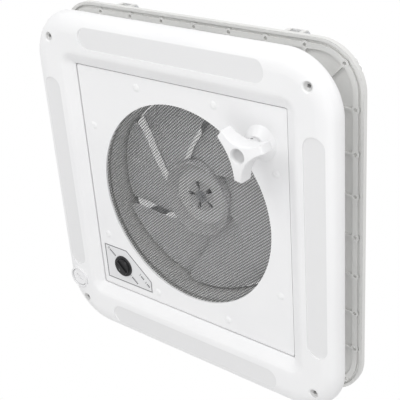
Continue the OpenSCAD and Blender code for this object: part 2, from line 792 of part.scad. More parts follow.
// Worm wheel with straight trapezoid teeth; a gap faces the worm
module worm_wheel() {
    step = 360 / wheel_teeth;
    foot = 0.62 * gear_m;
    tip = 0.3 * gear_m;
    function polar(r, a) = r * [cos(a), sin(a)];
    function arc(w, r) = w / r * 180 / PI;
    outline = [for (k = [0 : wheel_teeth - 1], q = [0 : 3])
        let (a = (k + 0.5) * step,
             r = q == 0 || q == 3 ? wheel_root : wheel_tip,
             w = q == 0 || q == 3 ? foot : tip,
             s = q < 2 ? -1 : 1)
        polar(r, a + s * arc(w, r))];
    color([0.93, 0.92, 0.88]) difference() {
        side_plate(crank_x - wheel_w / 2, wheel_w) translate([pivot_y, hinge_z]) polygon(outline);
        along_x(crank_x - wheel_w, pivot_y, hinge_z) cylinder(d = arm_shaft_d, h = 2 * wheel_w);
    }
}

module arm_shaft() {
    low = crank_x - cavity_x - case_wall / 2 + slide_gap;
    color([0.7, 0.71, 0.73]) along_x(low, pivot_y, hinge_z)
        cylinder(d = arm_shaft_d, h = arm_x + arm_t - low);
}

// Lift arm with two lightening slots
module lift_arm() {
    slot_w = arm_w * 0.4;
    slot_l = arm_l / 2 - slot_end - slot_gap;
    color([0.72, 0.73, 0.75]) difference() {
        side_plate(arm_x, arm_t) difference() {
            union() {
                translate([block_y, hinge_z]) round_bar(arm_l, arm_w);
                translate([pivot_y, hinge_z]) circle(arm_shaft_d / 2 + 4);
            }
            for (k = [0, 1]) translate([block_y + slot_end + k * (slot_l + slot_gap), hinge_z])
                round_bar(slot_l - slot_w, slot_w);
        }
        along_x(arm_x - 1, pivot_y, hinge_z) cylinder(d = arm_shaft_d, h = arm_t + 2);
        along_x(arm_x - 1, block_y, hinge_z) cylinder(d = slide_pin_d, h = arm_t + 2);
    }
}

module slide_pin() {
    color([0.7, 0.71, 0.73]) {
        along_x(arm_x, block_y, hinge_z) cylinder(d = slide_pin_d, h = arm_t + drop_gap + block_w - 1);
        along_x(arm_x - 1, block_y, hinge_z) cylinder(r = slide_pin_d / 2 + 1, h = 1);
    }
}

// Block that slides in the lid's track
module slide_block() {
    r = 2;
    color([0.93, 0.92, 0.88]) difference() {
        side_plate(block_x, block_w) translate([block_y, hinge_z]) {
            square([block_l, block_h - 2 * r], center = true);
            square([block_l - 2 * r, block_h], center = true);
            for (y = side_signs, z = side_signs)
                translate([y * (block_l / 2 - r), z * (block_h / 2 - r)]) circle(r);
        }
        along_x(block_x - 1, block_y, hinge_z) cylinder(r = slide_pin_d / 2 + run_fit, h = block_w);
    }
}

// Lid

track_low_y = block_y - block_l / 2 - 6;
track_high_y = block_near_y + block_l / 2 + 6;
function track_posts() = [for (f = [0.12, 0.5, 0.88]) track_low_y + f * (track_high_y - track_low_y)];
track_mid_x = block_x + (block_w + track_t) / 2;
rivet_grip = 9.5;

// Cushion-shaped solid: two crowned bars crossed
module crown(half, z0, rise, base) {
    n = 10;
    outline = concat([[half, z0 - base], [-half, z0 - base]],
                     [for (k = [-n : n]) [half * k / n, z0 + rise * (1 - pow(k / n, 2))]]);
    intersection() {
        rotate([90, 0, 0]) translate([0, 0, -half]) linear_extrude(2 * half) polygon(outline);
        side_plate(-half, 2 * half) polygon(outline);
    }
}

// Skirt and shoulder of the lid, as a section from the corner centre outwards
module lid_section() {
    n = 12;
    out = lid_half - corner_c;
    mid = out - lid_shoulder_r;
    knee = lid_top_z - lid_shoulder_r;
    function round_pt(k, r) = [mid + r * cos(90 * k / n), knee + r * sin(90 * k / n)];
    polygon(concat(
        [[out - lid_wall, lid_edge_z], [out, lid_edge_z]],
        [for (k = [0 : n]) round_pt(k, lid_shoulder_r)],
        [[0, lid_top_z], [0, lid_under]],
        [for (k = [n : -1 : 0]) round_pt(k, lid_shoulder_r - lid_wall)]));
}

module lid() {
    land = 4;
    dip = 0.2;
    post_low = hinge_z + track_half + track_t;
    color([0.93, 0.93, 0.92]) difference() {
        union() {
            difference() {
                union() {
                    sweep_square(corner_c) lid_section();
                    translate([-corner_c, -corner_c, lid_under]) cube([2 * corner_c, 2 * corner_c, lid_wall]);
                    crown(crown_half, lid_top_z - dip, lid_crown + dip, lid_wall / 2 - dip);
                }
                crown(crown_half - 2 * lid_wall, lid_under - dip, lid_crown + dip, 1);
            }
            translate([0, 0, seal_top + slide_gap]) square_ring(neck_half + 0.5, neck_half + 0.5 - land,
                lid_under - 0.4 - seal_top - slide_gap);
            for (s = side_signs) {
                along_x(s * hinge_x - lug_w / 2, hinge_y, hinge_z) cylinder(r = knuckle_r, h = lug_w);
                translate([s * hinge_x - lug_w / 2, lid_half - lid_wall / 2, hinge_z - knuckle_r])
                    cube([lug_w, hinge_y - lid_half + lid_wall / 2, 2 * knuckle_r]);
            }
            intersection() {
                for (y = track_posts()) translate([track_mid_x, y, post_low]) cylinder(r = 6, h = lid_top_z);
                crown(crown_half, lid_top_z - lid_wall / 2, lid_crown, lid_top_z - lid_wall / 2 - hinge_z);
            }
        }
        for (y = track_posts()) translate([track_mid_x, y, hinge_z])
            cylinder(d = 4, h = track_half + track_t + rivet_grip + 0.5);
        for (s = side_signs)
            along_x(s * hinge_x - lug_w, hinge_y, hinge_z) cylinder(r = hinge_bore_r, h = 2 * lug_w);
    }
}

// Channel that guides the slide block, open towards the arm
module lid_track() {
    h = track_half;
    color([0.76, 0.77, 0.79]) difference() {
        translate([0, track_high_y, 0]) rotate([90, 0, 0]) linear_extrude(track_high_y - track_low_y)
            translate([0, hinge_z]) difference() {
                translate([block_x + 0.5, -h - track_t])
                    square([track_x + track_t - block_x - 0.5, 2 * (h + track_t)]);
                translate([block_x, -h]) square([track_x - block_x, 2 * h]);
            }
        for (y = track_posts()) translate([track_mid_x, y, hinge_z]) cylinder(d = 4, h = h + track_t + 1);
    }
}

module track_rivets() {
    color([0.75, 0.76, 0.78]) for (y = track_posts())
        translate([track_mid_x, y, hinge_z + track_half])
            cylinder(d = 4, h = track_t + rivet_grip);
}

// Cabin side

// Square plate with the round screen opening, the crank's boss, small domed pips and snap posts
module screen_plate() {
    pip_r = 5;
    pip_h = 1.1;
    color([0.95, 0.95, 0.95]) difference() {
        union() {
            translate([0, 0, plate_face]) linear_extrude(plate_t) rounded_square(plate_half, 2);
            translate([crank_x, crank_y, boss_face])
                cylinder(r1 = boss_top_r, r2 = boss_top_r + boss_h, h = boss_h + eps);
            for (p = snap_points) translate(p) {
                translate([0, 0, plate_face - pip_h]) cylinder(r1 = 0.5 * pip_r, r2 = pip_r, h = pip_h + eps);
                translate([0, 0, plate_back - eps])
                    cylinder(r = snap_pin_r + 2, h = deck_low - plate_back + eps);
                translate([0, 0, deck_low - eps]) cylinder(r = snap_pin_r, h = deck_t + 2);
            }
            for (k = [0 : 7]) rotate(22.5 + 45 * k) translate([stake_circle, 0, plate_back - eps])
                cylinder(r = stake_r, h = clamp_top - plate_back + 0.4);
        }
        translate([0, 0, plate_face - 1]) cylinder(r = throat_r, h = plate_t + 2);
        translate([crank_x, crank_y, boss_face - 1])
            cylinder(r = crank_d / 2 + drop_gap, h = boss_h + plate_t + 2);
        translate([switch_x, switch_y, plate_face - 1]) cylinder(d = bush_d, h = plate_t + 2);
    }
}

// Woven net, clamped behind the plate
module insect_screen() {
    n = ceil(net_r / net_pitch);
    wire_w = 2 * wire_t;
    color([0.35, 0.36, 0.37]) intersection() {
        union() for (k = [-n : n]) {
            translate([k * net_pitch - wire_w / 2, -net_r, net_low]) cube([wire_w, 2 * net_r, wire_t]);
            translate([-net_r, k * net_pitch - wire_w / 2, net_low + wire_t])
                cube([2 * net_r, wire_w, wire_t]);
        }
        translate([0, 0, net_low - 1]) cylinder(r = net_r, h = 2 * wire_t + 2);
    }
}

module screen_ring() {
    color([0.9, 0.9, 0.9]) difference() {
        translate([0, 0, net_high]) cylinder(r = throat_r + clamp_w, h = clamp_t);
        translate([0, 0, net_high - 1]) cylinder(r = throat_r, h = clamp_t + 2);
        for (k = [0 : 7]) rotate(22.5 + 45 * k) translate([stake_circle, 0, net_high - 1])
            cylinder(r = stake_r, h = clamp_t + 2);
    }
}

// Section of the trim frame: rounded outside, nearly flat face, sloped wall down to the plate
module garnish_section() {
    n = 16;
    w = garnish_wall;
    function round_pt(k, t) = let (a = 90 * k / n)
        [round_mid + (round_w - t) * cos(a), garnish_rear - (round_h - t) * sin(a)];
    nose = 3;
    outer = concat([for (k = [0 : n]) round_pt(k, 0)],
        [[crest + nose, garnish_face + crest_drop],
         [crest, garnish_face + crest_drop + 0.4],
         [crest - nose, garnish_face + crest_drop + 1.6],
         [garnish_in_r + 1, rim_face - 0.5],
         [garnish_in_r, rim_face + 0.5],
         [garnish_in_r, rim_back]]);
    inner = concat([[garnish_in_r + w, rim_back],
         [garnish_in_r + w + 0.5, rim_face + w - 0.6],
         [crest - nose + w / 2, garnish_face + crest_drop + 1.6 + w],
         [crest + w / 2, garnish_face + crest_drop + 0.4 + w],
         [crest + nose, garnish_face + crest_drop + w]],
        [for (k = [n : -1 : 0]) round_pt(k, w)]);
    polygon(concat(outer, inner));
}

module garnish() {
    stop_w = 3;
    skin = garnish_face + crest_drop + 1;
    post_low = garnish_face + garnish_wall - 0.3;
    post_r = corner_hole_d / 2 + 4.3;
    pad_floor = garnish_face + pad_depth;
    dish_low = garnish_face + 3.4;
    color([0.96, 0.96, 0.97]) difference() {
        union() {
            sweep_square(garnish_c) garnish_section();
            translate([0, 0, skin]) square_ring(collar_in + 2, collar_in, -neck_down + collar_h - skin);
            for (a = [0 : 90 : 270], k = [-1 : 1]) rotate(a)
                translate([neck_in - ledge_w / 2, stop_at * k - stop_w / 2, skin])
                    cube([collar_in + 1 - neck_in + ledge_w / 2, stop_w, -neck_down - skin]);
            for (x = side_signs, y = side_signs) translate([x * corner_half, y * corner_half, post_low])
                cylinder(r = post_r, h = garnish_rear - post_low);
            translate([fuse_x, fuse_y, fuse_lip_face])
                cylinder(r = fuse_well_r + fuse_lip_w, h = garnish_rear - fuse_lip_face - 4);
        }
        for (x = side_signs, y = side_signs) translate([x * corner_half, y * corner_half, 0]) {
            translate([0, 0, garnish_face - 1]) cylinder(d = corner_hole_d, h = round_h + 2);
            translate([0, 0, garnish_face - 1])
                cylinder(d1 = dish_d * 1.2, d2 = corner_hole_d - 0.2, h = dish_low - garnish_face + 1);
        }
        for (a = [0 : 90 : 270]) rotate(a)
            translate([pad_mid, -pad_l / 2 + pad_w / 2, pad_floor - 6]) rotate(90)
                linear_extrude(6) round_bar(pad_l - pad_w, pad_w);
        translate([fuse_x, fuse_y, fuse_lip_face - 1]) cylinder(r = fuse_well_r, h = garnish_down);
        translate([fuse_x, fuse_y, fuse_lip_face - 1]) rotate(-143)
            translate([fuse_well_r - 1, -2, 0]) cube([fuse_lip_w + 2, 4, 3.2]);
    }
}

// Fuse holder cup behind the cap, its fuse, and the cap
module fuse_holder() {
    color([0.2, 0.2, 0.21]) difference() {
        translate([fuse_x, fuse_y, fuse_floor + 1.5]) cylinder(r = fuse_well_r, h = fuse_depth - 1.5);
        translate([fuse_x, fuse_y, fuse_floor]) cylinder(r = fuse_cap_d / 2 - 3, h = fuse_cup);
        translate([fuse_x - 6, fuse_y - 2, fuse_floor]) cube([12, 4, fuse_depth - 1.5]);
    }
}

module fuse() {
    low = fuse_floor + fuse_cup - 3;
    color([0.75, 0.3, 0.2]) translate([fuse_x - 5.5, fuse_y - 1.8, low])
        cube([11, 3.6, fuse_floor + fuse_depth - 1.5 - low]);
}

module fuse_cap() {
    r = fuse_cap_d / 2;
    color([0.94, 0.94, 0.94]) difference() {
        union() {
            translate([fuse_x, fuse_y, garnish_face - 0.6]) cylinder(r1 = r - 1, r2 = r, h = 1);
            translate([fuse_x, fuse_y, garnish_face + 0.4]) cylinder(r = r, h = 2.1 - slide_gap);
            translate([fuse_x, fuse_y, fuse_floor]) cylinder(r = r - 3 - slide_gap, h = 4);
        }
        translate([fuse_x, fuse_y, garnish_face - 1]) rotate(37) translate([-6, -1, 0]) cube([12, 2, 1.6]);
    }
}

// Switch: body behind the plate with a threaded bush, bezel, label and knob
module switch_body() {
    color([0.17, 0.17, 0.18]) difference() {
        union() {
            translate([switch_x - switch_w / 2, switch_y - switch_w / 2, plate_back])
                cube([switch_w, switch_w, switch_depth]);
            translate([switch_x, switch_y, bezel_face + slide_gap])
                cylinder(d = bush_d, h = plate_back - bezel_face);
        }
        translate([switch_x, switch_y, bezel_face - 1]) cylinder(r = 3 + run_fit, h = 14);
    }
}

module switch_bezel() {
    color([0.05, 0.05, 0.05]) difference() {
        translate([switch_x, switch_y, bezel_face]) cylinder(d1 = bezel_d - 1.5, d2 = bezel_d, h = bezel_t);
        translate([switch_x, switch_y, bezel_face - 1]) cylinder(d = bush_d, h = bezel_t + 2);
    }
}

// Five-sided label with the switch's hole
module label_plate() {
    cut = [label_w * 0.5, label_h * 0.667];
    color([0.93, 0.93, 0.94]) translate([0, 0, label_face]) linear_extrude(label_t) difference() {
        translate([label_right, label_low]) polygon([[0, 0], [0, label_h], [-label_w + cut[0], label_h],
            [-label_w, label_h - cut[1]], [-label_w, 0]]);
        translate([switch_x, switch_y]) circle(d = bush_d);
    }
}

module switch_knob() {
    face = bezel_face - slide_gap - switch_knob_h;
    grip_h = 1.6;
    r = switch_knob_d / 2;
    color([0.04, 0.04, 0.04]) translate([switch_x, switch_y, 0]) difference() {
        union() {
            translate([0, 0, face + grip_h]) cylinder(r1 = r - 0.8, r2 = r, h = switch_knob_h - grip_h);
            translate([0, 0, face]) intersection() {
                rotate(45) translate([-r, -0.28 * r, 0]) cube([2 * r, 0.56 * r, grip_h + 1]);
                cylinder(r = r - 1, h = grip_h + 1);
            }
            translate([0, 0, bezel_face - slide_gap - eps]) cylinder(r = 3, h = 10);
        }
        rotate(45) translate([r * 0.35, -0.4, face - 1]) cube([r * 0.5, 0.8, 1.6]);
    }
}

// Three-lobed outline
module knob_outline() {
    w = lobe_w / 2;
    bevel = 1.8;
    difference() {
        for (k = [0 : 2]) rotate(120 * k)
            polygon([[0, -flank_near], [lobe_end / 2, -flank_near],
                     [lobe_end - bevel, -w], [lobe_end, bevel - w], [lobe_end, w - bevel], [lobe_end - bevel, w],
                     [lobe_end / 2, flank_near], [0, flank_near]]);
        for (k = [0 : 2]) rotate(60 + 120 * k) translate([flank_near + flank_r, 0]) circle(flank_r);
    }
}

module crank_knob() {
    turn = 37;
    neck_top_r = boss_top_r - 1.5;
    color([0.97, 0.97, 0.97]) translate([crank_x, crank_y, 0]) difference() {
        union() {
            intersection() {
                translate([0, 0, knob_face - 1]) linear_extrude(knob_t + 1) rotate(turn) knob_outline();
                translate([0, 0, knob_face + dome_r]) rotate([90, 0, 0]) sphere(dome_r);
            }
            translate([0, 0, knob_back - eps])
                cylinder(r1 = neck_top_r + 2, r2 = neck_top_r,
                    h = boss_face - slide_gap - 0.5 - knob_back + eps);
        }
        translate([0, 0, knob_face + dimple_h - dimple_r]) rotate([90, 0, 0]) sphere(dimple_r);
        translate([0, 0, knob_face + 9]) cylinder(d = crank_d, h = knob_reach);
        translate([0, 0, grub_z]) rotate([-90, 0, 0]) cylinder(d = grub_d, h = 2 * boss_top_r);
    }
}

// Grub screw that holds the knob on its shaft
module knob_screw() {
    length = 5;
    at = [crank_x, crank_y + crank_d / 2, grub_z];
    color([0.75, 0.76, 0.78]) translate(at) rotate([-90, 0, 0]) difference() {
        cylinder(d = grub_d, h = length);
        translate([0, 0, length - 2]) cylinder(d = 2, h = 3, $fn = 6);
    }
}

base_frame();
lid_seal();
hinge_pins();
fan_deck();
throat_ring();
duct_screws();
motor_bracket();
bracket_screws();
motor();
motor_screws();
operator_housing();
operator_cover();
operator_screws();
screen_plate();
insect_screen();
screen_ring();
garnish();
switch_body();
switch_bezel();
label_plate();
fuse_holder();
fuse();
crank_knob();
knob_screw();
crank_shaft();
worm();
worm_wheel();
arm_shaft();
lift_arm();
slide_pin();
slide_block();
lid();
lid_track();
track_rivets();
fan_rotor();
motor_shaft();
rotor_clip();
switch_knob();
fuse_cap();
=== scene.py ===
"""Caravan roof vent: finishes, fine mesh, markings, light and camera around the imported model.

Everything is in metres in the model's own frame: z = 0 is the roof's outer surface, +Z points out
of the roof, the cabin side faces -Z and the lid's hinge is at +Y.
"""
import json

import bmesh
import bpy
import numpy as np
from mathutils import Matrix, Vector


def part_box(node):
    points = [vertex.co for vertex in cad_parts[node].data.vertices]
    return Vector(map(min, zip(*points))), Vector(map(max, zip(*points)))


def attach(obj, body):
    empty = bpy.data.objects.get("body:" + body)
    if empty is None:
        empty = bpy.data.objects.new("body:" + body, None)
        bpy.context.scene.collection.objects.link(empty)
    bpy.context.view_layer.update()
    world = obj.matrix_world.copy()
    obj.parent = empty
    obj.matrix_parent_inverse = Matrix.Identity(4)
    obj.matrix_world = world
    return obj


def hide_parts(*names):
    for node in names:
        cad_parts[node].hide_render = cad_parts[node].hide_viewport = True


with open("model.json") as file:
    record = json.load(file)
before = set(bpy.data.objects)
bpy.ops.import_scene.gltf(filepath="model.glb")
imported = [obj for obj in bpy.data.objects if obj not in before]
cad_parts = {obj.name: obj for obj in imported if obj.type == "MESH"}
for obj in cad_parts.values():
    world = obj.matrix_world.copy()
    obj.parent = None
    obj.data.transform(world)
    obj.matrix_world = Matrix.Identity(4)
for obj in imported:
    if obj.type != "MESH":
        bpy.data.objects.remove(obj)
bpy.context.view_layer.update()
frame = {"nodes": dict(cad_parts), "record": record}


# Finishes

# Clouds of another shade, patches of uneven sheen and the moulded grain
CLOUD_SIZE, CLOUD_DETAIL, CLOUD_FROM, CLOUD_TO = 0.12, 4.0, 0.35, 0.75
SHEEN_PATCH, SHEEN_SPREAD = 0.02, 0.08
GRAIN_SIZE, GRAIN_DETAIL, GRAIN_DEPTH = 0.0006, 2.0, 0.00002

# Mottle or streaks of plain metal
STREAK_SIZE, STREAK_DETAIL, STREAK_DEPTH = 0.002, 3.0, 0.00001
STREAK_DULL, STREAK_ROUGHER = 0.86, 0.15

# Places of a Mix node's factor, its two colours and its colour output
MIX_SHARE, MIX_FIRST, MIX_SECOND, MIX_RESULT = 0, 6, 7, 2


class Val:
    """A number or colour that varies over a surface. Each operator adds one Math node."""

    def __init__(self, nodes, socket):
        self.nodes = nodes
        self.socket = socket

    def __add__(self, other):
        return self.nodes.math("ADD", self, other)

    def __radd__(self, other):
        return self.nodes.math("ADD", other, self)

    def __sub__(self, other):
        return self.nodes.math("SUBTRACT", self, other)

    def __rsub__(self, other):
        return self.nodes.math("SUBTRACT", other, self)

    def __mul__(self, other):
        return self.nodes.math("MULTIPLY", self, other)

    def __rmul__(self, other):
        return self.nodes.math("MULTIPLY", other, self)

    def __pow__(self, other):
        return self.nodes.math("POWER", self, other)

    def __abs__(self):
        return self.nodes.math("ABSOLUTE", self)

    def low(self, other):
        """The lesser of two."""
        return self.nodes.math("MINIMUM", self, other)

    def high(self, other):
        """The greater of two."""
        return self.nodes.math("MAXIMUM", self, other)

    def step(self, start, end):
        """0 below start, 1 above end, eased between."""
        settings = {"interpolation_type": "SMOOTHSTEP"}
        sockets = {"Value": self, "From Min": start, "From Max": end}
        return self.nodes.node("ShaderNodeMapRange", settings, sockets, "Result")


def diagonal(first, second):
    """Square root of the sum of two squares, for varying numbers."""
    return (first ** 2 + second ** 2) ** 0.5


def rgba(colour):
    """A plain colour with full opacity; a varying colour stays as it is."""
    return colour if isinstance(colour, Val) else (*colour, 1.0)


class Nodes:
    """The node tree of a material or a world; the nodes are added by type."""

    def __init__(self, owner):
        owner.use_nodes = True
        self.tree = owner.node_tree

    def node(self, kind, settings=None, inputs=None, output=0):
        """Add a node: its settings first, then the values or links of its sockets."""
        made = self.tree.nodes.new(kind)
        for key, value in (settings or {}).items():
            setattr(made, key, value)
        for key, value in (inputs or {}).items():
            self.feed(made.inputs[key], value)
        return Val(self, made.outputs[output])

    def feed(self, socket, value):
        """Link what varies to a socket, or set a plain value on it."""
        if isinstance(value, Val):
            self.tree.links.new(value.socket, socket)
        else:
            socket.default_value = value

    def math(self, operation, first, second=0.0):
        """One Math node."""
        return self.node("ShaderNodeMath", {"operation": operation}, {0: first, 1: second})


class Finish(Nodes):
    """A procedural material with one Principled shader."""

    def __init__(self, name, **constants):
        self.material = bpy.data.materials.new(name)
        super().__init__(self.material)
        self.shader = self.tree.nodes["Principled BSDF"]
        for key, value in constants.items():
            self.shader.inputs[key.replace("_", " ").title()].default_value = value

    def place(self):
        """Object coordinates, in metres in the model's frame."""
        return self.node("ShaderNodeTexCoord", output="Object")

    def axes(self):
        """The three Object coordinates as separate numbers."""
        split = self.node("ShaderNodeSeparateXYZ", inputs={"Vector": self.place()})
        return [Val(self, split.socket.node.outputs[axis]) for axis in "XYZ"]

    def noise(self, size, detail=3.0, stretch=(1, 1, 1)):
        """Soft noise, 0 to 1, with lumps of about the given size in metres."""
        where = self.node("ShaderNodeMapping", inputs={"Vector": self.place(), "Scale": stretch})
        sockets = {"Vector": where, "Scale": 1 / size, "Detail": detail}
        return self.node("ShaderNodeTexNoise", inputs=sockets, output="Fac")

    def blend(self, share, first, second):
        """Colour that goes from first to second as share goes from 0 to 1."""
        sockets = {MIX_SHARE: share, MIX_FIRST: rgba(first), MIX_SECOND: rgba(second)}
        return self.node("ShaderNodeMix", {"data_type": "RGBA"}, sockets, MIX_RESULT)

    def clouded(self, colour, shade, size=CLOUD_SIZE):
        """Colour with soft clouds of another shade."""
        share = self.noise(size, CLOUD_DETAIL).step(CLOUD_FROM, CLOUD_TO)
        return self.blend(share, colour, shade)

    def surface(self, colour, roughness=None, height=None, depth=0.0):
        """Link what varies; height is a number from 0 to 1 that stands depth metres tall."""
        self.feed(self.shader.inputs["Base Color"], colour)
        if roughness is not None:
            self.feed(self.shader.inputs["Roughness"], roughness)
        if height is not None:
            sockets = {"Height": height, "Distance": depth, "Strength": 1.0}
            bump = self.node("ShaderNodeBump", inputs=sockets, output="Normal")
            self.feed(self.shader.inputs["Normal"], bump)
        return self.material

    def grained(self, colour, roughness, grain=GRAIN_SIZE, depth=GRAIN_DEPTH):
        """Moulded surface: slightly uneven sheen over a fine spark-eroded grain."""
        uneven = roughness + SHEEN_SPREAD * self.noise(SHEEN_PATCH)
        return self.surface(colour, uneven, self.noise(grain, GRAIN_DETAIL), depth)


def moulded(name, colour, shade, roughness, grain=GRAIN_SIZE, depth=GRAIN_DEPTH, cloud=CLOUD_SIZE,
            **constants):
    """Moulded plastic: a fine grain, and clouds of slightly different colour."""
    made = Finish(name, **constants)
    return made.grained(made.clouded(colour, shade, cloud), roughness, grain, depth)


def metal(name, colour, roughness, stretch=(1, 1, 1)):
    """Plain metal with a fine mottle, which an uneven stretch draws into streaks."""
    made = Finish(name, metallic=1.0)
    streak = made.noise(STREAK_SIZE, STREAK_DETAIL, stretch)
    dull = tuple(STREAK_DULL * part for part in colour)
    return made.surface(made.blend(streak, colour, dull), roughness + STREAK_ROUGHER * streak,
                        streak, STREAK_DEPTH)


TRIM_WHITE = (0.86, 0.86, 0.865)
TRIM_SHADE = (0.83, 0.83, 0.84)
SATIN = 0.34
FAN_WHITE = (0.88, 0.88, 0.89)
FAN_SHADE = (0.84, 0.84, 0.85)
FAN_SATIN = 0.35

# Plastic that light shines through: the lid deeply, the fan a little
MILKY = {"subsurface_weight": 0.9, "subsurface_radius": (1, 1, 1), "subsurface_scale": 0.04}
CLOUDY = {"subsurface_weight": 0.6, "subsurface_radius": (1, 1, 1), "subsurface_scale": 0.008}

# Trim frame: the face, the long pads, and the painted shade in the dishes round the corner screws
FACE_ROUGHNESS, FACE_SHEEN = 0.33, 0.06
FACE_GRAIN, FACE_GRAIN_DEPTH, FACE_GRAIN_SHARE = 0.0005, 0.00004, 0.3
PAD_GREY = (0.77, 0.77, 0.775)
PAD_MID, PAD_HALF_W, PAD_RUN = 0.1875, 0.013, 0.118
PAD_DEEPEST, PAD_EASE = -0.0508, 0.0004
PAD_ROUGHER = 0.24
# Painted shade: grey in the recessed dishes round the corner screws
SCREW_DISH_PAINTED_SHADE = (0.56, 0.56, 0.555)
CORNER_SCREW, SCREW_DISH_IN, SCREW_DISH_OUT = 0.1820, 0.0042, 0.0062


def trim_frame_finish():
    """Satin white, with long pads in a matt, slightly greyer grain, and painted shade in the dishes round
    the screws.

    A pad is every point of the face within its half width of a straight run along the frame's side,
    and a dish is every point within its radius of a corner screw's axis."""
    made = Finish("trim_frame_white")
    x, y, z = made.axes()
    across, along = abs(x).high(abs(y)), abs(x).low(abs(y))
    from_run = diagonal((along - PAD_RUN).high(0.0), across - PAD_MID)
    off_face = z.step(PAD_DEEPEST - PAD_EASE, PAD_DEEPEST)
    pad = (1 - from_run.step(PAD_HALF_W - PAD_EASE, PAD_HALF_W)) * (1 - off_face)
    from_screw = diagonal(abs(x) - CORNER_SCREW, abs(y) - CORNER_SCREW)
    dish = 1 - from_screw.step(SCREW_DISH_IN, SCREW_DISH_OUT)
    # Painted shade: grey blended into the dish round each corner screw
    screw_dish_shaded = made.blend(dish, made.clouded(TRIM_WHITE, TRIM_SHADE), SCREW_DISH_PAINTED_SHADE)
    roughness = FACE_ROUGHNESS + FACE_SHEEN * made.noise(SHEEN_PATCH) + PAD_ROUGHER * pad
    grain = made.noise(FACE_GRAIN, GRAIN_DETAIL) * (FACE_GRAIN_SHARE + (1 - FACE_GRAIN_SHARE) * pad)
    return made.surface(made.blend(pad, screw_dish_shaded, PAD_GREY), roughness, grain, FACE_GRAIN_DEPTH)


finishes = {
    "trim_plastic": moulded("satin_white", TRIM_WHITE, TRIM_SHADE, SATIN),
    "shell_plastic": moulded("stone_grey", (0.79, 0.79, 0.775), (0.75, 0.75, 0.735), 0.5),
    "lid_plastic": moulded("milky_lid", (0.93, 0.93, 0.925), (0.90, 0.90, 0.895), 0.4, cloud=0.2, **MILKY),
    "fan_plastic": moulded("cloudy_fan", FAN_WHITE, FAN_SHADE, FAN_SATIN, **CLOUDY),
    "seal_rubber": moulded("seal_rubber", (0.02, 0.02, 0.021), (0.03, 0.03, 0.03), 0.7, grain=0.0004),
    "steel": metal("plated_steel", (0.62, 0.63, 0.65), 0.28),
    "bracket_metal": metal("sheet_aluminium", (0.78, 0.79, 0.80), 0.32, stretch=(8, 1, 1)),
    "motor_metal": moulded("motor_coat", (0.30, 0.31, 0.33), (0.26, 0.27, 0.29), 0.45, grain=0.0012),
    "gear_nylon": moulded("natural_nylon", (0.80, 0.78, 0.71), (0.75, 0.73, 0.66), 0.45),
    "net_fibre": moulded("coated_fibre", (0.07, 0.07, 0.072), (0.09, 0.09, 0.092), 0.6, grain=0.0004),
    "black_plastic": moulded("satin_black", (0.008, 0.008, 0.009), (0.014, 0.014, 0.015), 0.36),
    "label_film": moulded("label_film", (0.76, 0.76, 0.77), (0.73, 0.73, 0.74), 0.3,
                          grain=0.0003, depth=0.000004),
    "fuse_plastic": moulded("fuse_body", (0.55, 0.12, 0.05), (0.45, 0.09, 0.04), 0.25),
}

# Every node of the model takes its slot's finish; the trim frame and the duct have their own
slot_of = {part["node"]: part["material_slot"] for part in frame["record"]["subparts"]}
for node, piece in frame["nodes"].items():
    piece.data.materials.clear()
    piece.data.materials.append(finishes[slot_of[node]])
frame["nodes"]["garnish"].data.materials[0] = trim_frame_finish()
duct_white = moulded("duct_white", (0.88, 0.88, 0.875), (0.84, 0.84, 0.835), 0.45)
for node in ("fan_deck", "throat_ring"):
    frame["nodes"][node].data.materials[0] = duct_white


# Shapes worked out with numpy

WELD = 0.000002


def quads(rows, columns):
    """Faces of a grid of points stored row by row, where every row is a closed loop."""
    row, column = np.meshgrid(np.arange(rows - 1), np.arange(columns), indexing="ij")
    next_row, next_column = row + 1, (column + 1) % columns
    corners = (row * columns + column, next_row * columns + column,
               next_row * columns + next_column, row * columns + next_column)
    return np.stack(corners, -1).reshape(-1, 4)


def polar_grid(radius, angle, height):
    """Points at (radius cos angle, radius sin angle, height), broadcast to one grid of rows."""
    radius, angle, height = np.broadcast_arrays(radius, angle, height)
    return np.stack((radius * np.cos(angle), radius * np.sin(angle), height), -1)


def lifted(flat, height):
    """List of points (x, y, height) from an array of points (x, y)."""
    return np.concatenate((flat, np.full((*flat.shape[:-1], 1), height)), -1).reshape(-1, 3)


def weld(mesh):
    """Merge points that lie on each other, so that poles, seams and pinched edges are closed."""
    work = bmesh.new()
    work.from_mesh(mesh)
    bmesh.ops.remove_doubles(work, verts=work.verts, dist=WELD)
    work.to_mesh(mesh)
    work.free()


def make(name, shells, body, slot, stands_for=(), finish=None, sharp=35):
    """Join shells, each points with their quads, into one object that rides on a body.

    It is shaded smooth, apart from edges that bend by more than sharp degrees."""
    sizes = np.cumsum([0] + [len(points) for points, _ in shells])
    points = np.concatenate([points for points, _ in shells])
    faces = np.concatenate([corners + start for (_, corners), start in zip(shells, sizes)])
    mesh = bpy.data.meshes.new(name)
    mesh.vertices.add(len(points))
    mesh.vertices.foreach_set("co", points.astype(np.float32).ravel())
    mesh.loops.add(faces.size)
    mesh.loops.foreach_set("vertex_index", faces.astype(np.int32).ravel())
    mesh.polygons.add(len(faces))
    mesh.polygons.foreach_set("loop_start", np.arange(0, faces.size, 4, dtype=np.int32))
    mesh.polygons.foreach_set("use_smooth", np.ones(len(faces), dtype=bool))
    mesh.update(calc_edges=True)
    weld(mesh)
    mesh.set_sharp_from_angle(angle=np.radians(sharp))
    mesh.materials.append(finish or finishes[slot])
    made = bpy.data.objects.new(name, mesh)
    bpy.context.collection.objects.link(made)
    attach(made, body)
    if stands_for:
        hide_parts(*stands_for)


# Insect screen

NET_PITCH = 0.0028
WEFT_W, WARP_W = 0.0008, 0.0002
THREAD_T = 0.0003
THREAD_POINTS = 8
NET_BIAS = np.radians(140)


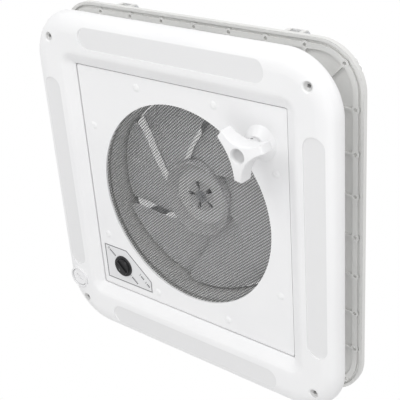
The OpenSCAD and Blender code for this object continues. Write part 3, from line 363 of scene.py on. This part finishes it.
def thread_layer(radius, low, width, heading):
    """Parallel threads clipped to a circle and turned to a heading.

    Each is a bar of half-length sqrt(r^2 - d^2) at offset d from the middle."""
    count = int(radius / NET_PITCH)
    offset = NET_PITCH * np.arange(-count, count + 1)[:, None, None]
    reach = np.sqrt(radius ** 2 - offset ** 2)
    ends = np.array([-1, 1])[None, :, None]
    across = 0.5 * width * np.array([-1, 1, 1, -1])[None, None, :]
    up = THREAD_T * np.array([0, 0, 1, 1])[None, None, :]
    run, side, height = np.broadcast_arrays(ends * reach, offset + across, low + up)
    ahead = np.array((np.cos(heading), np.sin(heading), 0))
    beside = np.array((-np.sin(heading), np.cos(heading), 0))
    points = run[..., None] * ahead + side[..., None] * beside + height[..., None] * np.array((0, 0, 1))
    tube = quads(2, 4)
    caps = np.array([[0, 1, 2, 3], [7, 6, 5, 4]])
    start = THREAD_POINTS * np.arange(len(offset))[:, None, None]
    return points.reshape(-1, 3), (np.concatenate((tube, caps))[None] + start).reshape(-1, 4)


def insect_screen():
    """Two layers of threads at right angles, as wide as the model's net."""
    (low_x, _, low_z), (high_x, _, _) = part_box("insect_screen")
    radius = 0.5 * (high_x - low_x)
    make("screen_mesh", [thread_layer(radius, low_z, WEFT_W, NET_BIAS),
                         thread_layer(radius, low_z + THREAD_T, WARP_W, NET_BIAS + np.pi / 2)],
         "base", "net_fibre", ["insect_screen"])


insect_screen()


# Crank knob

KNOB_AXIS = (-0.116, 0.106, 0.0)
KNOB_TURN = np.radians(37)
KNOB_T, KNOB_DOME = 0.020, 0.004
LOBES, LOBE_END = 3, 0.0314
FLANK_R, FLANK_NEAR, FLANK_FAR = 0.0466, 0.0126, 1.0
LOBE_SHARPNESS = 34
DISH_R, DISH_DEPTH, DISH_LIP = 0.009, 0.0065, 0.05
LIP_IN, LIP_OUT = 0.0004, 0.0010
KNOB_EDGE = 0.0017
BACK_EDGE, BACK_BEVEL = 0.0012, 0.0004
NECK_R, NECK_EDGE = 0.0095, 0.0006
FLARE_W, FLARE_MID_W, FLARE_MID_H = 0.0035, 0.0018, 0.001
SHAFT_R, SOCKET_DEPTH = 0.004, 0.009

# Fineness of the knob's rings, and how far the rings between circle and outline have changed over
LOBE_POINTS, LOBE_SAMPLES = 84, 6001
BEND_RINGS, DISH_RINGS = 7, 16
FACE_SHARES, BACK_SHARES = (0.2, 0.4, 0.6, 0.8), (0.6, 0.25)

# Painted shade at the bottom of the dish, and the grub screw's hole in the neck painted dark as its shade
KNOB_DISH_PAINTED_SHADE = (0.50, 0.50, 0.505)
DISH_SHADE_IN, DISH_SHADE_OUT = 0.0060, 0.0092
DISH_SHADE_Z, DISH_SHADE_EASE = -0.0745, 0.0003
GRUB_HOLE_PAINTED_SHADE = (0.02, 0.02, 0.02)
GRUB_Z, GRUB_R, GRUB_EASE = -0.057, 0.0018, 0.0002
GRUB_SIDE_FROM, GRUB_SIDE_TO = 0.004, 0.0045


def knob_finish():
    """Satin white, with painted shade at the bottom of the dish, and the grub screw's hole painted dark as
    its shade.

    The dish's painted shade lies near the axis and close to the face, and the hole's painted shade
    is a dark circle on the neck's +Y side, where the neck has no real hole."""
    made = Finish("knob_white")
    x, y, z = made.axes()
    off_x, off_y = x - KNOB_AXIS[0], y - KNOB_AXIS[1]
    # Painted shade: grey near the axis at the bottom of the dish
    behind_dish_shade = z.step(DISH_SHADE_Z, DISH_SHADE_Z + DISH_SHADE_EASE)
    dish_shade = (1 - diagonal(off_x, off_y).step(DISH_SHADE_IN, DISH_SHADE_OUT)) * (1 - behind_dish_shade)
    # Painted shade: a dark circle on the neck where the grub screw's hole lies in shade; the neck has no
    # hole
    off_hole = diagonal(off_x, z - GRUB_Z).step(GRUB_R - GRUB_EASE, GRUB_R)
    hole = (1 - off_hole) * off_y.step(GRUB_SIDE_FROM, GRUB_SIDE_TO)
    dish_shaded = made.blend(dish_shade, made.clouded(TRIM_WHITE, TRIM_SHADE), KNOB_DISH_PAINTED_SHADE)
    return made.grained(made.blend(hole, dish_shaded, GRUB_HOLE_PAINTED_SHADE), SATIN)


def lobed_radius(off_lobe):
    """Outline at an angle from a lobe's axis: the flat end or the hollow flank, whichever is nearer,
    with the corner between them eased by a power mean."""
    off_flank = np.pi / LOBES - np.abs(off_lobe)
    reach = FLANK_NEAR + FLANK_R
    room = FLANK_R ** 2 - (reach * np.sin(off_flank)) ** 2
    flank = np.where(room > 0, reach * np.cos(off_flank) - np.sqrt(np.maximum(room, 0)), FLANK_FAR)
    end = LOBE_END / np.cos(off_lobe)
    return (end ** -LOBE_SHARPNESS + flank ** -LOBE_SHARPNESS) ** (-1 / LOBE_SHARPNESS)


def knob_outline():
    """Angles and radii of one lobe, repeated for every lobe, spaced evenly along the outline's length."""
    off = np.linspace(-np.pi / LOBES, np.pi / LOBES, LOBE_SAMPLES)
    radius = lobed_radius(off)
    steps = np.hypot(np.diff(radius * np.cos(off)), np.diff(radius * np.sin(off)))
    length = np.concatenate(([0], np.cumsum(steps)))
    even = np.interp(np.linspace(0, length[-1], LOBE_POINTS, endpoint=False), length, off)
    angle = (KNOB_TURN + even + 2 * np.pi / LOBES * np.arange(LOBES)[:, None]).ravel()
    return angle, np.tile(lobed_radius(even), LOBES)


def cap_height(radius, rim, rise):
    """Fall from the top of a spherical cap, which drops by rise at the radius rim."""
    ball = (rim ** 2 + rise ** 2) / (2 * rise)
    return ball - np.sqrt(np.maximum(ball ** 2 - radius ** 2, 0))


def round_ring(radius, height, on_dome=0):
    """Ring of the knob that is a circle."""
    return 0.0, 0.0, radius, height, on_dome


def lobed_ring(inset, height, on_dome=0):
    """Ring of the knob that is its outline, drawn in by an inset."""
    return 1.0, inset, 0.0, height, on_dome


def crank_knob():
    """Rings from the dish's middle, over the domed face, round both edges, and down the neck behind.

    Each ring is a mix of a circle and the lobed outline drawn in by an inset. Its height is counted
    from the dome where it lies on it, and otherwise from z = 0. The dish is a spherical cap."""
    (_, _, face), (_, _, neck_end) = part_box("crank_knob")
    back = face + KNOB_T
    socket = face + SOCKET_DEPTH
    bend = np.radians(np.linspace(0, 90, BEND_RINGS))
    dish = DISH_R * np.sin(np.linspace(0, np.pi / 2, DISH_RINGS))
    rise = cap_height(dish, DISH_R, DISH_DEPTH) * (1 - DISH_LIP * dish / DISH_R)
    rings = [round_ring(*ring) for ring in zip(dish, face + DISH_DEPTH - rise)]
    rings += [round_ring(DISH_R + LIP_IN, 0.0, 1), round_ring(DISH_R + LIP_OUT, 0.0, 1)]
    rings += [(share, KNOB_EDGE, DISH_R + LIP_OUT, 0.0, 1) for share in FACE_SHARES]
    rings += [lobed_ring(KNOB_EDGE * (1 - np.sin(b)), KNOB_EDGE * (1 - np.cos(b)), 1) for b in bend]
    rings += [lobed_ring(0.0, back - BACK_EDGE), lobed_ring(BACK_BEVEL, back - BACK_BEVEL),
              lobed_ring(BACK_EDGE, back)]
    rings += [(share, BACK_EDGE, NECK_R + FLARE_W, back, 0) for share in BACK_SHARES]
    rings += [round_ring(NECK_R + FLARE_W, back), round_ring(NECK_R + FLARE_MID_W, back + FLARE_MID_H),
              round_ring(NECK_R, neck_end - NECK_EDGE), round_ring(NECK_R - NECK_EDGE, neck_end),
              round_ring(SHAFT_R, neck_end), round_ring(SHAFT_R, socket), round_ring(0.0, socket)]
    share, inset, circle, height, on_dome = (np.array(column)[:, None] for column in zip(*rings))
    angle, outline = knob_outline()
    radius = share * (outline - inset) + (1 - share) * circle
    height = height + on_dome * (face + cap_height(radius, LOBE_END, KNOB_DOME))
    points = polar_grid(radius, angle, height) + KNOB_AXIS
    shell = points.reshape(-1, 3), quads(len(rings), angle.size)[:, ::-1]
    make("knob", [shell], "crank", "trim_plastic", ["crank_knob"], knob_finish(), sharp=50)


crank_knob()


# Fan

BLADES = 6
FIRST_BLADE, BLADE_SWEEP = np.radians(13), np.radians(34)
BLADE_FILL = 0.97
BLADE_ROOT, BLADE_TIP = 0.0453, 0.1205
BLADE_MID_Z, BLADE_RISE, BLADE_CAMBER, BLADE_T = -0.0095, 0.0092, 0.0016, 0.0018
BLADE_ROWS, BLADE_LOOP = 22, 72
BLADE_FULLNESS = 0.4
TIP_FROM, TIP_DRAW = 0.82, 0.05
HUB_R, HUB_LOW, HUB_FLOOR, HUB_WEB, HUB_HIGH = 0.0465, -0.020, -0.009, 0.003, -0.001
HUB_FLOOR_R, HUB_RIM, HUB_BORE_R, HUB_BOSS_R = 0.036, 0.0015, 0.003, 0.008
HUB_WALL, HUB_EDGE = 0.003, 0.0005
SLOT_IN, SLOT_OUT, SLOT_HALF = 0.009, 0.019, np.radians(9)
SLOTS, SLOT_STEPS, BRIDGE_STEPS = 5, 4, 15
SLOT_TURN = 2 * np.pi / SLOTS
# Painted light on the floor of the hub, and painted shade on the cup's slope and round the slots
HUB_FLOOR_PAINTED_LIGHT = (0.98, 0.98, 0.98)
HUB_PAINTED_SHADE = (0.72, 0.72, 0.725)
TONE_EASE = 0.0015


def blade_shell(turn):
    """Rows along the radius, each a flattened loop round the blade's chord.

    The chord falls anticlockwise by BLADE_RISE over the blade's share of the circle, bowed by
    BLADE_CAMBER; the root lies BLADE_SWEEP behind the tip, by the square of the distance from it. The end
    rows are pinched flat, and the tip's corners are drawn in."""
    along = np.array([0.0, *np.linspace(0, 1, BLADE_ROWS), 1.0])[:, None]
    full = np.array([0.0, *np.ones(BLADE_ROWS), 0.0])[:, None]
    loop = np.linspace(0, 2 * np.pi, BLADE_LOOP, endpoint=False)[None, :]
    trim = 1 - TIP_DRAW * np.clip((along - TIP_FROM) / (1 - TIP_FROM), 0, 1) ** 2
    chord = 0.5 * np.cos(loop) * trim
    side = np.sign(np.sin(loop)) * np.abs(np.sin(loop)) ** BLADE_FULLNESS * full
    angle = turn + 2 * np.pi / BLADES * BLADE_FILL * chord - BLADE_SWEEP * (1 - along) ** 2
    height = (BLADE_MID_Z - BLADE_RISE * chord + BLADE_CAMBER * (1 - 4 * chord ** 2) - BLADE_CAMBER / 2
              + 0.5 * BLADE_T * side)
    points = polar_grid(BLADE_ROOT + (BLADE_TIP - BLADE_ROOT) * along, angle, height)
    return points.reshape(-1, 3), quads(along.size, loop.size)


def hub_shell():
    """Profile of the hub turned about the fan's axis: the boss, the tapered cup and the open back.

    The faces between the slots' two radii are left out where a slot goes through the floor."""
    floor_back = HUB_FLOOR + HUB_WEB
    cup_r = HUB_R - HUB_RIM
    inner_r = HUB_R - HUB_WALL
    profile = [
        (HUB_BORE_R, HUB_FLOOR), (SLOT_IN, HUB_FLOOR), (SLOT_OUT, HUB_FLOOR),
        (HUB_FLOOR_R - HUB_EDGE, HUB_FLOOR), (HUB_FLOOR_R + HUB_EDGE, HUB_FLOOR - HUB_EDGE),
        (cup_r - HUB_EDGE / 2, HUB_LOW + HUB_EDGE), (cup_r + HUB_EDGE, HUB_LOW),
        (HUB_R - HUB_EDGE, HUB_LOW), (HUB_R, HUB_LOW + HUB_EDGE),
        (HUB_R, HUB_HIGH - HUB_EDGE), (HUB_R - HUB_EDGE, HUB_HIGH),
        (inner_r, HUB_HIGH), (inner_r, floor_back), (SLOT_OUT, floor_back), (SLOT_IN, floor_back),
        (HUB_BOSS_R, floor_back), (HUB_BOSS_R, HUB_HIGH), (HUB_BORE_R, HUB_HIGH), (HUB_BORE_R, HUB_FLOOR),
    ]
    radius, height = np.array(profile).T[:, :, None]
    spread = np.concatenate((np.linspace(-SLOT_HALF, SLOT_HALF, SLOT_STEPS + 1),
                             np.linspace(SLOT_HALF, SLOT_TURN - SLOT_HALF, BRIDGE_STEPS + 1)[1:-1]))
    angle = (SLOT_TURN * np.arange(SLOTS)[:, None] + spread).ravel()
    points = polar_grid(radius, angle[None, :], height)
    corners = quads(len(profile), angle.size)
    row, column = np.divmod(np.arange(len(corners)), angle.size)
    span = np.sort(np.hstack((radius[:-1], radius[1:])), axis=1)
    crosses_slots = (span == (SLOT_IN, SLOT_OUT)).all(axis=1)
    in_slot = crosses_slots[row] & (column % spread.size < SLOT_STEPS)
    return points.reshape(-1, 3), corners[~in_slot][:, ::-1]


def slot_walls():
    """Walls of the slots through the hub's floor: each a ring sector's outline between the two faces."""
    spread = np.linspace(-SLOT_HALF, SLOT_HALF, SLOT_STEPS + 1)
    angle = np.concatenate((spread, spread[::-1]))
    radius = np.repeat((SLOT_IN, SLOT_OUT), spread.size)
    height = np.array((HUB_FLOOR, HUB_FLOOR + HUB_WEB))[:, None]
    walls = []
    for k in range(SLOTS):
        points = polar_grid(radius[None, :], angle[None, :] + SLOT_TURN * k, height)
        walls.append((points.reshape(-1, 3), quads(2, angle.size)[:, ::-1]))
    return walls


def fan_finish():
    """Cloudy white, with painted light on the floor of the hub and painted shade on the cup's slope and
    round the slots.
    """
    made = Finish("fan_white", **CLOUDY)
    x, y, _ = made.axes()
    from_axis = diagonal(x, y)
    off_boss = from_axis.step(SLOT_OUT - TONE_EASE, SLOT_OUT + TONE_EASE)
    off_floor = from_axis.step(HUB_FLOOR_R - TONE_EASE, HUB_FLOOR_R)
    off_hub = from_axis.step(HUB_R - TONE_EASE, HUB_R)
    # Painted shade round the slots, painted light on the rest of the floor, painted shade on the cup's
    # slope
    floor = made.blend(off_boss, HUB_PAINTED_SHADE, HUB_FLOOR_PAINTED_LIGHT)
    hub = made.blend(off_floor, floor, HUB_PAINTED_SHADE)
    return made.grained(made.blend(off_hub, hub, made.clouded(FAN_WHITE, FAN_SHADE)), FAN_SATIN)


def fan():
    """Blades set evenly round the hub."""
    blades = [blade_shell(FIRST_BLADE + 2 * np.pi / BLADES * k) for k in range(BLADES)]
    make("fan", blades + [hub_shell()] + slot_walls(), "rotor", "fan_plastic", ["fan_rotor"], fan_finish(),
         sharp=40)


fan()


# Printing on the label, and the switch's pointer

LABEL_CORNERS = np.array([(0.144, -0.141), (0.144, -0.090), (0.1045, -0.090),
                          (0.065, -0.124), (0.065, -0.141)])
PRINT_LIFT = 0.00006
PRINT_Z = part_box("label_plate")[0][2] - PRINT_LIFT
LINE_W, LINE_INSET = 0.0011, 0.0009
READING = np.radians(219)
DIGIT_H, DIGIT_SHARE = 0.0036, 0.7
BAR_W, BAR_H, BAR_STEP, BAR_START = 0.0014, 0.0027, 0.0020, 0.0026
POINTER_ENDS = np.array([(0.1200, -0.1130), (0.1165, -0.1215)])
POINTER_W = 0.0008
SWITCH_GRIP_H = 0.0016

# Each digit's place, and the number of bars after it
ROWS = {
    "0": ((0.1367, -0.0958), 6),
    "1": ((0.1015, -0.1265), 6),
    "2": ((0.0849, -0.1201), 3),
    "3": ((0.0762, -0.1287), 3),
}

ink = moulded("label_ink", (0.10, 0.10, 0.105), (0.13, 0.13, 0.135), 0.5, grain=0.0003, depth=0.000002)
pointer_paint = moulded("pointer_white", (0.30, 0.30, 0.30), (0.22, 0.22, 0.22), 0.5,
                        grain=0.0003, depth=0.000002)


def inset_corners(corners, inset):
    """Corners of a closed outline moved inwards so that every side shifts by the inset."""
    side = np.roll(corners, -1, axis=0) - corners
    side /= np.linalg.norm(side, axis=1)[:, None]
    after = np.stack((-side[:, 1], side[:, 0]), -1)
    before = np.roll(after, 1, axis=0)
    share = inset / (1 + (before * after).sum(1))
    return corners + share[:, None] * (before + after)


def printed_outline():
    """Line just inside the label's edge, as a closed band."""
    outer, inner = (inset_corners(LABEL_CORNERS, inset) for inset in (LINE_INSET, LINE_INSET + LINE_W))
    return lifted(np.stack((outer, inner)), PRINT_Z), quads(2, len(outer))[:, ::-1]


def printed_bars(count, place):
    """A row of short bars after a digit, along the reading direction."""
    ahead = np.array((np.cos(READING), np.sin(READING)))
    up = np.array((ahead[1], -ahead[0]))
    start = BAR_START + BAR_STEP * np.arange(count)[:, None]
    square = np.array(((0, 0), (1, 0), (1, 1), (0, 1)))
    run, rise = np.broadcast_arrays(start + BAR_W * square[:, 0], BAR_H * (square[:, 1] - 0.5))
    flat = np.array(place) + run[..., None] * ahead + rise[..., None] * up
    return lifted(flat, PRINT_Z), np.arange(4 * count).reshape(-1, 4)


def printed_digit(digit, place):
    """A digit as a flat mesh, centred on its place and facing the cabin."""
    curve = bpy.data.curves.new("digit_" + digit, "FONT")
    curve.body = digit
    curve.size = DIGIT_H / DIGIT_SHARE
    curve.align_x, curve.align_y = "CENTER", "CENTER"
    draft = bpy.data.objects.new("digit_draft", curve)
    bpy.context.collection.objects.link(draft)
    mesh = bpy.data.meshes.new_from_object(draft.evaluated_get(bpy.context.evaluated_depsgraph_get()))
    bpy.data.objects.remove(draft)
    spin = Matrix.Rotation(READING, 4, "Z") @ Matrix.Rotation(np.pi, 4, "X")
    mesh.transform(Matrix.Translation((*place, PRINT_Z)) @ spin)
    mesh.materials.clear()
    mesh.materials.append(ink)
    made = bpy.data.objects.new("digit_" + digit, mesh)
    bpy.context.collection.objects.link(made)
    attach(made, "base")


def label_printing():
    """The outline and all bars as one piece, and each digit as its own."""
    bars = [printed_bars(count, place) for place, count in ROWS.values()]
    make("label_lines", [printed_outline()] + bars, "base", "label_film", finish=ink)
    for digit, (place, _) in ROWS.items():
        printed_digit(digit, place)


def switch_pointer():
    """Painted bar on the flat of the switch's knob, beside its grip."""
    first, last = POINTER_ENDS
    along = last - first
    beside = 0.5 * POINTER_W * np.array((-along[1], along[0])) / np.hypot(*along)
    flat = np.array((first - beside, first + beside, last + beside, last - beside))
    points = lifted(flat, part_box("switch_knob")[0][2] + SWITCH_GRIP_H - PRINT_LIFT)
    shell = points, np.array([[0, 1, 2, 3]])
    make("switch_pointer", [shell], "selector", "black_plastic", finish=pointer_paint)


switch_pointer()
label_printing()


# Camera, light and floor

CAMERA_AT = Vector((-0.642, 0.4825, -0.7374))
CAMERA_AHEAD = Vector((0.5924, -0.4487, 0.6691))
CAMERA_UP = Vector((0.2366, 0.8908, 0.3879))
CAMERA_LENS = 82.6
SENSOR = 36.0
LAMP_UP = Vector((0, 1, 0.3))
AMBIENT = 0.56
FLOOR_Z, FLOOR_HALF = -2.0, 6.0
FLOOR_PALE = (0.86, 0.86, 0.86)
FLOOR_SHADE = (0.83, 0.83, 0.83)
FLOOR_CLOUD, FLOOR_ROUGHNESS = 0.8, 0.9


def turned_to(ahead, up):
    """Rotation that points an object's -Z along ahead and its +Y as near to up as can be."""
    back = -ahead.normalized()
    right = up.cross(back).normalized()
    return Matrix((right, back.cross(right), back)).transposed()


camera = bpy.data.objects.new("camera", bpy.data.cameras.new("camera"))
camera.data.lens = CAMERA_LENS
camera.data.sensor_width = SENSOR
camera.matrix_world = Matrix.Translation(CAMERA_AT) @ turned_to(CAMERA_AHEAD, CAMERA_UP).to_4x4()
bpy.context.collection.objects.link(camera)
bpy.context.scene.camera = camera


def soft_lamp(name, at, size, power):
    """Square area lamp aimed at the part's middle."""
    lamp = bpy.data.objects.new(name, bpy.data.lights.new(name, "AREA"))
    lamp.data.size = size
    lamp.data.energy = power
    lamp.matrix_world = Matrix.Translation(at) @ turned_to(-Vector(at), LAMP_UP).to_4x4()
    bpy.context.collection.objects.link(lamp)


soft_lamp("key", at=(0.4, 1.8, -1.6), size=1.4, power=19)
soft_lamp("front_fill", at=(-0.9, -0.4, -1.9), size=1.2, power=10)
soft_lamp("side", at=(-1.3, 1.9, -0.3), size=1.6, power=18)
soft_lamp("sky", at=(0.6, -0.9, 2.2), size=2.2, power=50)


def plain_floor():
    """Flat square well below the part, which hangs in a roof above it."""
    square = ((-1, -1), (1, -1), (1, 1), (-1, 1))
    corners = [(x * FLOOR_HALF, y * FLOOR_HALF, FLOOR_Z) for x, y in square]
    mesh = bpy.data.meshes.new("floor")
    mesh.from_pydata(corners, [], [(0, 1, 2, 3)])
    made = bpy.data.objects.new("floor", mesh)
    bpy.context.collection.objects.link(made)
    paint = Finish("floor_paint", roughness=FLOOR_ROUGHNESS)
    mesh.materials.append(paint.surface(paint.blend(paint.noise(FLOOR_CLOUD), FLOOR_PALE, FLOOR_SHADE)))


plain_floor()


def studio_world():
    """Even grey light, which the camera, mirrors and glass see as plain white."""
    world = bpy.data.worlds.new("studio")
    bpy.context.scene.world = world
    light = Nodes(world)
    rays = ("Is Camera Ray", "Is Glossy Ray", "Is Transmission Ray")
    camera_ray, glossy_ray, clear_ray = (light.node("ShaderNodeLightPath", output=ray) for ray in rays)
    seen = camera_ray.high(glossy_ray).high(clear_ray)
    sockets = {"Value": seen, "To Min": AMBIENT, "To Max": 1.0}
    level = light.node("ShaderNodeMapRange", inputs=sockets, output="Result")
    background = light.tree.nodes["Background"]
    light.feed(background.inputs["Color"], rgba((1, 1, 1)))
    light.feed(background.inputs["Strength"], level)


studio_world()

bpy.context.scene.view_settings.view_transform = "Standard"
